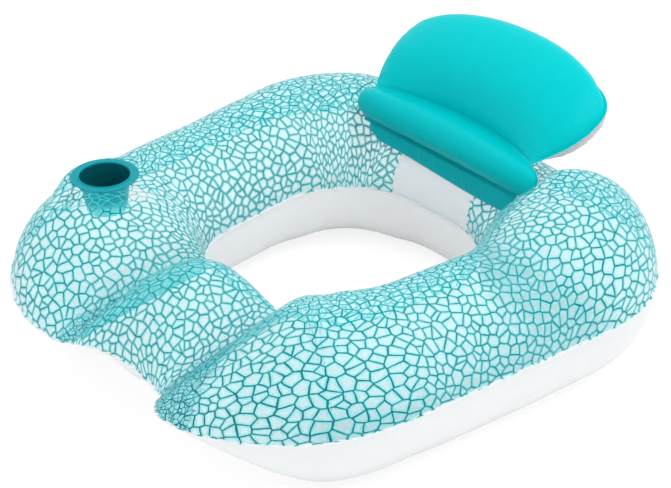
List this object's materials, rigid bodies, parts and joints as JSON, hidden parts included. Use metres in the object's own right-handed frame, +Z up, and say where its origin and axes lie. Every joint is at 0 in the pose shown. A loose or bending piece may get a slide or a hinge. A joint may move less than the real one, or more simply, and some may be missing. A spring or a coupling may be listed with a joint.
{
  "type": "inflatable pool chair",
  "caption": "Inflatable pool chair: a rounded rectangular float ring with an open seat hole, a leg bar, a reclining padded backrest on a hinge flap and a cup holder in one arm.",
  "frame": {"origin": "on the floor under the middle of the chair's bounding box", "axes": "+Z up, -Y towards the leg bar and the sitter's feet, +Y towards the backrest, +X across to the arm without the cup holder"},
  "size_m": [0.9694, 1.0167, 0.4282],
  "materials": {
    "printed_film": "clear pale aqua PVC film with a printed net of teal lines",
    "white_film": "white PVC film, soft gloss",
    "teal_film": "opaque teal PVC film, soft gloss",
    "cup_vinyl": "teal PVC sheet, soft gloss",
    "clear_vinyl": "soft clear moulded vinyl"
  },
  "bodies": {
    "ring": {"ring_top_film": "printed_film", "ring_bottom_film": "white_film", "cup_sleeve": "cup_vinyl", "cup_base": "cup_vinyl", "cup_flange": "cup_vinyl", "backrest_flap": "teal_film", "ring_valve_flange": "clear_vinyl"},
    "backrest": {"backrest_front_film": "teal_film", "backrest_back_film": "white_film", "backrest_valve_flange": "clear_vinyl"},
    "ring_valve_stem": {"ring_valve_stem": "clear_vinyl"},
    "ring_valve_plug": {"ring_valve_plug": "clear_vinyl"},
    "ring_valve_flap": {"ring_valve_flap": "clear_vinyl"},
    "backrest_valve_stem": {"backrest_valve_stem": "clear_vinyl"},
    "backrest_valve_plug": {"backrest_valve_plug": "clear_vinyl"},
    "backrest_valve_flap": {"backrest_valve_flap": "clear_vinyl"}
  },
  "joints": [
    {"name": "backrest_fold", "type": "hinge", "parent": "ring", "child": "backrest", "pos_m": [0, 0.2455, 0.25], "axis": [1, 0, 0], "range_deg": [0, 60]},
    {"name": "ring_valve_push", "type": "slide", "parent": "ring", "child": "ring_valve_stem", "axis": [0, 0, 1], "range_m": [-0.012, 0]},
    {"name": "ring_plug_hinge", "type": "hinge", "parent": "ring_valve_stem", "child": "ring_valve_plug", "pos_m": [0.0094, 0.3495, 0.24955], "axis": [0, 1, 0], "range_deg": [0, 110]},
    {"name": "ring_check_flap_hinge", "type": "hinge", "parent": "ring_valve_stem", "child": "ring_valve_flap", "pos_m": [0.0053, 0.3495, 0.22895], "axis": [0, -1, 0], "range_deg": [0, 50], "stiffness_Nm_per_rad": 0.0001},
    {"name": "backrest_valve_push", "type": "slide", "parent": "backrest", "child": "backrest_valve_stem", "axis": [0, 0.2897, -0.9571], "range_m": [-0.012, 0]},
    {"name": "backrest_plug_hinge", "type": "hinge", "parent": "backrest_valve_stem", "child": "backrest_valve_plug", "pos_m": [0.0094, 0.43336, 0.27417], "axis": [0, -0.9571, -0.2897], "range_deg": [0, 110]},
    {"name": "backrest_check_flap_hinge", "type": "hinge", "parent": "backrest_valve_stem", "child": "backrest_valve_flap", "pos_m": [0.0053, 0.42739, 0.29389], "axis": [0, 0.9571, 0.2897], "range_deg": [0, 50], "stiffness_Nm_per_rad": 0.0001}
  ]
}
